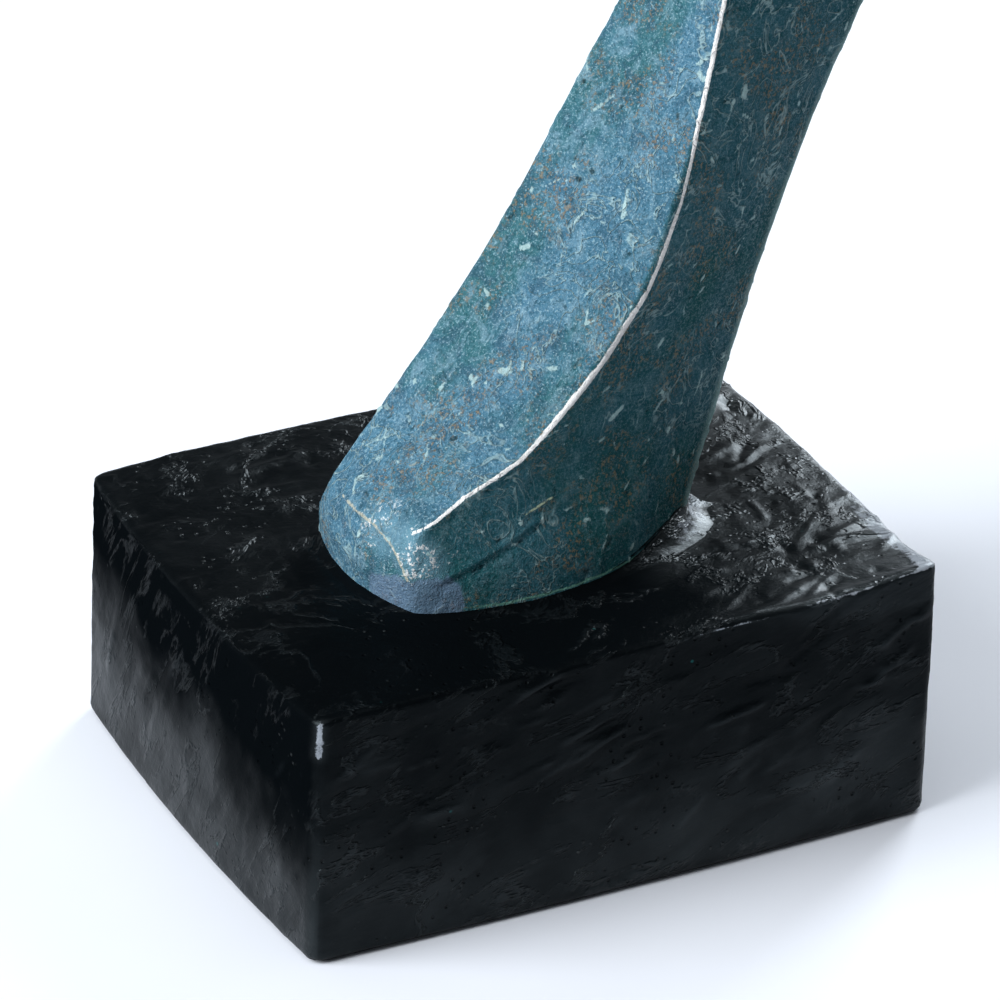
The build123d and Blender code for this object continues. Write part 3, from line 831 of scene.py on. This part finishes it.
def patina(name, blue, green, pale):
    """Blue-green patina with a worn crest, ochre specks, pale scratches and dark pits; the
    crest's white line and the flecks by it are partly painted highlights, with painted shade on
    the side facing right and front and a painted rim light along the right-hand contour.
    """
    f = Finish(name)
    ridge, toe, relief = f.kept("ridge"), f.kept("toe_ridge"), f.kept("relief")
    along = f.stretched((1, 1, 0.5), (0, -30, 0))
    cloud, mottle = f.noise(48, 4, 0.6, along), f.noise(210, 5, 0.62, None, 0.8)
    grain, speck = f.noise(1500, 3, 0.7), f.noise(3000, 2, 0.7)
    streak = f.noise(420, 4, 0.65, f.stretched((1, 1, 0.3), (0, -30, 0)))
    curl = f.noise(130, 3, 0.5, None, 1.6)
    curl = curl.between(0.475, 0.5) * curl.between(0.525, 0.5) * cloud.between(0.47, 0.6)
    colour = f.mix(cloud.between(0.4, 0.58), green, blue)
    colour = f.mix(mottle.between(0.52, 0.38) * 0.55, colour, (0.035, 0.085, 0.135))
    colour = f.mix(mottle.between(0.52, 0.66) * 0.55, colour, pale)
    colour = f.mix(streak.between(0.54, 0.68) * 0.4, colour, pale)
    colour = f.mix(grain.between(0.5, 0.34) * 0.5, colour, (0.012, 0.05, 0.062))
    colour = f.mix(grain.between(0.54, 0.68) * 0.5, colour, (0.25, 0.42, 0.50))
    colour = f.mix(speck.between(0.58, 0.7) * 0.45, colour, (0.40, 0.55, 0.60))
    # painted shade: the patina darker and greener on the side facing right and front, away from
    # the key light
    colour = f.mix(f.kept("shady") * 0.6, colour, (0.0, 0.055, 0.05))
    bloom = f.kept("knuckle").between(5.5, 1.2) * (0.3 + 0.6 * mottle)
    colour = f.mix(bloom, colour, (0.17, 0.33, 0.42))
    ochre = f.noise(1300, 3, 0.75).between(0.52, 0.62) * f.noise(80, 4).between(0.47, 0.6)
    colour = f.mix(ochre * 0.6, colour, (0.30, 0.21, 0.11))
    raised = (relief * 4.0 + 0.4 * speck - 0.2).between(0.35, 0.7)
    colour = f.mix((raised * 0.75 + curl * 0.5).held(), colour, (0.42, 0.58, 0.58))
    sunk = (relief * -4.0 + 0.5 * mottle - 0.25).between(0.4, 0.8)
    colour = f.mix(sunk * 0.75, colour, (0.006, 0.028, 0.034))
    # a smooth slate-blue patch low on the toe
    patch = (f.kept("patch") + 6 * cloud + 5 * mottle + 2 * grain).between(11.2, 10.4)
    colour = f.mix(patch * (0.3 + 0.8 * mottle), colour, (0.15, 0.22, 0.33))
    # the worn crest, the flecks of bare metal by it, and the drawn lines; the crest's white line
    # and the flecks are also painted highlights
    wide = 0.5 * mottle + 0.4 * grain + 0.35 * streak - 0.22
    rubbed_and_highlight = (wide - ridge).between(-0.07, 0.07)
    toe_rubbed = (wide * 0.7 + 0.4 * grain - 0.25 - toe).between(-0.12, 0.12)
    toe_rubbed = toe_rubbed * mottle.between(0.34, 0.48)
    flecks_and_glints = (0.62 - f.kept("knuckle") * 0.03 - 0.1 * mottle).between(0.3, 0.56)
    flecks_and_glints = flecks_and_glints * (grain * 0.5 + mottle * 0.5).between(0.55, 0.6)
    bare_and_highlight = (rubbed_and_highlight + flecks_and_glints * 0.9).held()
    colour = f.mix(toe_rubbed * 0.85, colour, (0.46, 0.44, 0.34))
    colour = f.mix(bare_and_highlight * (0.75 + 0.5 * speck).held(), colour, (0.9, 0.88, 0.86))
    line = f.kept("scratch").between(0.28, 0.12)
    colour = f.mix(line * 0.85, colour, (0.5, 0.56, 0.38))
    level = f.kept("level") - 1.4 * mottle
    hem = level.between(-0.1, 0.2) * level.between(0.55, 0.3) * f.kept("hem")
    colour = f.mix(hem * 0.7, colour, (0.18, 0.4, 0.3))
    crack = (f.kept("crack") + 2.4 * mottle + 0.8 * grain - 1.3).between(0.5, 0.15)
    colour = f.mix(crack * 0.85, colour, (0.004, 0.016, 0.022))
    # painted rim light: a pale band along the right-hand contour
    colour = f.mix(f.kept("painted_rim_light") * (0.3 + 0.7 * mottle), colour, (0.28, 0.42, 0.40))
    height = 0.6 * mottle + 0.6 * grain + 0.4 * streak + 0.35 * speck + ochre * 0.2 + curl * 0.5
    normal = f.bump(height, 1.0, 0.7)
    f.set(Base_Color=colour, Roughness=0.6, Specular_IOR_Level=0.0, Normal=normal)
    sheen = (0.05 + (0.5 * grain + 0.5 * speck).between(0.48, 0.6) * 0.5 + bare_and_highlight * 0.4).held()
    return f.overlaid(
        sheen, Base_Color=colour, Roughness=0.3 + 0.3 * mottle, Metallic=bare_and_highlight * 0.3,
        Specular_IOR_Level=0.5, Normal=normal,
    )


def metal(name, colour, rough, brushed=(1, 1, 12)):
    """Bare metal with fine lines; brushed says how much finer they are along each axis."""
    f = Finish(name)
    lines = f.noise(900, 3, 0.6, f.stretched(brushed))
    stain = f.noise(140, 3)
    shade_low = tuple(c * 0.72 for c in colour)
    return f.set(
        Base_Color=f.mix(stain.between(0.35, 0.7), shade_low, colour), Metallic=1.0,
        Roughness=rough + 0.16 * lines + 0.1 * stain, Normal=f.bump(lines, 0.25, 0.05),
    )


def felt_cloth(name, base):
    """Dense felt with lighter hairs."""
    f = Finish(name)
    hairs = f.noise(2600, 5, 0.7, f.stretched((1, 0.5, 1), (0, 0, 35)))
    tufts = f.noise(500, 4, 0.6)
    return f.set(
        Base_Color=f.mix(hairs.between(0.4, 0.7), base, tuple(c * 2.2 for c in base)),
        Roughness=0.92, Sheen_Weight=0.4, Sheen_Roughness=0.6,
        Normal=f.bump(0.6 * hairs + 0.4 * tufts, 0.8, 0.25),
    )


def board(name, colour):
    """The floor's smooth pale board."""
    f = Finish(name)
    haze = f.noise(9, 3)
    return f.set(
        Base_Color=f.mix(haze.between(0.3, 0.7), tuple(c * 0.97 for c in colour), colour),
        Roughness=0.55 + 0.08 * haze, Specular_IOR_Level=0.3,
    )


def room(name, strength, horizon):
    """Even light, with a pale band like a studio wall low all round."""
    world = bpy.data.worlds.new(name)
    f = Finish(name, world)
    up = f.node("ShaderNodeSeparateXYZ", {}, {0: f.places}, "Z")
    band = up.between(0.34, 0.1) * (horizon - strength)
    f.set(Color=(0.85, 0.93, 1.0, 1), Strength=strength + band)
    return world


# --- settings --------------------------------------------------------------------------------
class PlinthSettings(bpy.types.PropertyGroup):
    voxel: bpy.props.FloatProperty(
        name="Block face size", description="Size of the block's small faces, in millimetres",
        default=0.69, min=0.4, max=3.0)
    relief: bpy.props.FloatProperty(
        name="Tool marks", description="Strength of the tool marks in the block",
        default=1.0, min=0.0, max=3.0, subtype="FACTOR")
    paint: bpy.props.FloatVectorProperty(
        name="Paint", description="Colour of the block's black paint",
        default=(0.0016, 0.0023, 0.0029), size=3, subtype="COLOR", min=0.0, max=1.0)
    felt: bpy.props.FloatVectorProperty(
        name="Felt", description="Colour of the felt pad",
        default=(0.018, 0.018, 0.02), size=3, subtype="COLOR", min=0.0, max=1.0)


class CastingSettings(bpy.types.PropertyGroup):
    voxel: bpy.props.FloatProperty(
        name="Casting face size", description="Size of the casting's small faces, in millimetres",
        default=0.52, min=0.3, max=3.0)
    relief: bpy.props.FloatProperty(
        name="Surface marks", description="Strength of the marks in the casting's skin",
        default=1.0, min=0.0, max=3.0, subtype="FACTOR")
    blue: bpy.props.FloatVectorProperty(
        name="Blue patina", description="Bluer of the patina's two main colours",
        default=(0.072, 0.185, 0.27), size=3, subtype="COLOR", min=0.0, max=1.0)
    green: bpy.props.FloatVectorProperty(
        name="Green patina", description="Greener of the patina's two main colours",
        default=(0.04, 0.14, 0.165), size=3, subtype="COLOR", min=0.0, max=1.0)
    pale: bpy.props.FloatVectorProperty(
        name="Pale bloom", description="Colour of the patina's powdery bloom",
        default=(0.19, 0.32, 0.40), size=3, subtype="COLOR", min=0.0, max=1.0)


class StageSettings(bpy.types.PropertyGroup):
    floor: bpy.props.FloatVectorProperty(
        name="Floor", description="Colour of the floor",
        default=(0.82, 0.84, 0.90), size=3, subtype="COLOR", min=0.0, max=1.0)
    key: bpy.props.FloatProperty(
        name="Key light", description="Power of the large soft light",
        default=20.0, min=0.0, subtype="POWER", unit="POWER")
    top: bpy.props.FloatProperty(
        name="Top light", description="Power of the large soft light overhead",
        default=6.0, min=0.0, subtype="POWER", unit="POWER")
    rim: bpy.props.FloatProperty(
        name="Back light", description="Power of the soft light behind the object",
        default=7.0, min=0.0, subtype="POWER", unit="POWER")
    room: bpy.props.FloatProperty(
        name="Room light", description="Strength of the even light from all round",
        default=0.07, min=0.0, max=2.0)
    horizon: bpy.props.FloatProperty(
        name="Horizon", description="Strength of the pale wall's light, low all round",
        default=0.5, min=0.0, max=2.0)
    lens: bpy.props.FloatProperty(
        name="Lens", description="Focal length of the camera, in millimetres",
        default=252.14, min=10.0, max=1000.0, unit="CAMERA")


# the camera's place above the block's underside, and its three axes; metres
CAMERA_RIGHT = (0.89084, -0.45342, 0.028545)
CAMERA_UP = (0.20183, 0.45126, 0.86927)
CAMERA_BACK = (-0.40703, -0.76862, 0.49351)
CAMERA_PLACE = (-0.48903, -0.91937, 0.64217)
FLOOR_REACH = 6.0
LIGHTS_AIM = (0.0, 0.0, 0.06)


def light(name, spot, target, width, height, power, colour):
    """A soft light, width by height metres, turned from spot to target."""
    lamp = bpy.data.lights.new(name, "AREA")
    lamp.shape, lamp.size, lamp.size_y = "RECTANGLE", width, height
    lamp.energy, lamp.color = power, colour
    made = bpy.data.objects.new(name, lamp)
    made.location = spot
    made.rotation_euler = (Vector(target) - Vector(spot)).to_track_quat("-Z", "Y").to_euler()
    bpy.context.scene.collection.objects.link(made)
    return made


# --- operators -------------------------------------------------------------------------------
class PLINTH_OT_block(bpy.types.Operator):
    """Makes the worked surface of the plinth's block"""
    bl_idname = "plinth.block"
    bl_label = "Block"

    def execute(self, context):
        settings = context.scene.plinth
        piece = make_block(settings.voxel, settings.relief)
        place(piece, black_paint("black_paint", tuple(settings.paint)), "block_paint",
              "plinth_block")
        return {"FINISHED"}


class PLINTH_OT_bedding(bpy.types.Operator):
    """Makes the cove of filler round the foot"""
    bl_idname = "plinth.bedding"
    bl_label = "Bedding"

    def execute(self, context):
        settings = context.scene.plinth
        piece = make_bedding(settings.relief)
        place(piece, black_paint("black_filler", tuple(settings.paint)), "bedding_filler",
              "bedding_fillet")
        return {"FINISHED"}


class PLINTH_OT_felt(bpy.types.Operator):
    """Gives the felt pad its finish"""
    bl_idname = "plinth.felt"
    bl_label = "Felt"

    def execute(self, context):
        felt = frame["nodes"]["felt_pad"]
        felt.data.materials.clear()
        felt.data.materials.append(felt_cloth("felt", tuple(context.scene.plinth.felt)))
        return {"FINISHED"}


class PLINTH_OT_casting(bpy.types.Operator):
    """Makes the patinated skin of the casting"""
    bl_idname = "plinth.casting"
    bl_label = "Casting"

    def execute(self, context):
        settings = context.scene.casting
        piece = make_casting(settings.voxel, settings.relief)
        finish = patina("verdigris", tuple(settings.blue), tuple(settings.green),
                        tuple(settings.pale))
        place(piece, finish, "verdigris", "figure_casting")
        return {"FINISHED"}


class PLINTH_OT_fixings(bpy.types.Operator):
    """Gives the studs, nuts, washers, armature and joint pieces their metals"""
    bl_idname = "plinth.fixings"
    bl_label = "Fixings"

    def execute(self, context):
        zinc = metal("zinc_plate", (0.58, 0.6, 0.62), 0.28)
        ground = metal("ground_steel", (0.66, 0.66, 0.67), 0.18)
        mill = metal("mill_steel", (0.3, 0.3, 0.31), 0.42)
        milled = metal("milled_bronze", (0.52, 0.37, 0.2), 0.34, (1, 9, 1))
        turned = metal("turned_brass", (0.75, 0.56, 0.26), 0.24)
        for name, node in frame["nodes"].items():
            finish = (
                zinc if name.startswith(("mounting_stud", "stud_", "lock_washer"))
                else ground if name.startswith("locating_pin")
                else mill if name in ("anchor_plate", "armature_rod")
                else milled if name == "joint_plate"
                else turned if name == "thread_insert"
                else None
            )
            if finish is not None:
                node.data.materials.clear()
                node.data.materials.append(finish)
        return {"FINISHED"}


class PLINTH_OT_stage(bpy.types.Operator):
    """Makes the floor, the lights and the camera"""
    bl_idname = "plinth.stage"
    bl_label = "Stage"

    def execute(self, context):
        settings = context.scene.stage
        mesh = bpy.data.meshes.new("floor")
        corners = [(x * FLOOR_REACH, y * FLOOR_REACH, 0)
                   for x, y in ((-1, -1), (1, -1), (1, 1), (-1, 1))]
        mesh.from_pydata(corners, [], [(0, 1, 2, 3)])
        floor = bpy.data.objects.new("floor", mesh)
        mesh.materials.append(board("pale_floor", tuple(settings.floor)))
        context.scene.collection.objects.link(floor)

        light("key_light", (-0.93, 0.02, 0.66), LIGHTS_AIM, 0.8, 0.8, settings.key,
              (0.93, 0.97, 1.0))
        light("top_light", (-0.1, -0.15, 1.25), LIGHTS_AIM, 1.0, 1.0, settings.top,
              (0.96, 0.98, 1.0))
        light("back_light", (0.72, 0.52, 0.48), (0.03, 0, 0.05), 0.35, 0.7, settings.rim,
              (0.88, 0.94, 1.0))
        context.scene.world = room("room", settings.room, settings.horizon)

        camera = bpy.data.cameras.new("camera")
        camera.lens, camera.sensor_width = settings.lens, 36.0
        camera.clip_start, camera.clip_end = 0.05, 30.0
        made = bpy.data.objects.new("camera", camera)
        turn = Matrix((CAMERA_RIGHT, CAMERA_UP, CAMERA_BACK)).transposed().to_4x4()
        spot = Vector(CAMERA_PLACE) + Vector((0, 0, BLOCK_FLOOR * MM))
        made.matrix_world = Matrix.Translation(spot) @ turn
        context.scene.collection.objects.link(made)
        context.scene.camera = made
        context.scene.view_settings.view_transform = "Standard"
        return {"FINISHED"}


class PLINTH_PT_panel(bpy.types.Panel):
    """Lists the steps that build the plinth"""
    bl_idname = "PLINTH_PT_panel"
    bl_label = "Display plinth"
    bl_space_type = "VIEW_3D"
    bl_region_type = "UI"
    bl_category = "Plinth"

    def draw(self, context):
        for group in (context.scene.plinth, context.scene.casting, context.scene.stage):
            for name in group.__annotations__:
                self.layout.prop(group, name)
        for operator in OPERATORS:
            self.layout.operator(operator.bl_idname)


GROUPS = {"plinth": PlinthSettings, "casting": CastingSettings, "stage": StageSettings}
OPERATORS = (PLINTH_OT_block, PLINTH_OT_bedding, PLINTH_OT_felt, PLINTH_OT_casting,
             PLINTH_OT_fixings, PLINTH_OT_stage)


def register():
    """Makes the add-on's classes and settings known."""
    for made in (*GROUPS.values(), *OPERATORS, PLINTH_PT_panel):
        bpy.utils.register_class(made)
    for name, group in GROUPS.items():
        setattr(bpy.types.Scene, name, bpy.props.PointerProperty(type=group))


def unregister():
    """Takes the add-on's classes and settings out again."""
    for name in GROUPS:
        delattr(bpy.types.Scene, name)
    for made in (PLINTH_PT_panel, *reversed(OPERATORS), *reversed(list(GROUPS.values()))):
        bpy.utils.unregister_class(made)


def main():
    """Builds everything in order."""
    register()
    bpy.ops.plinth.stage()
    bpy.ops.plinth.block()
    bpy.ops.plinth.bedding()
    bpy.ops.plinth.felt()
    bpy.ops.plinth.casting()
    bpy.ops.plinth.fixings()


if __name__ == "__main__":
    main()
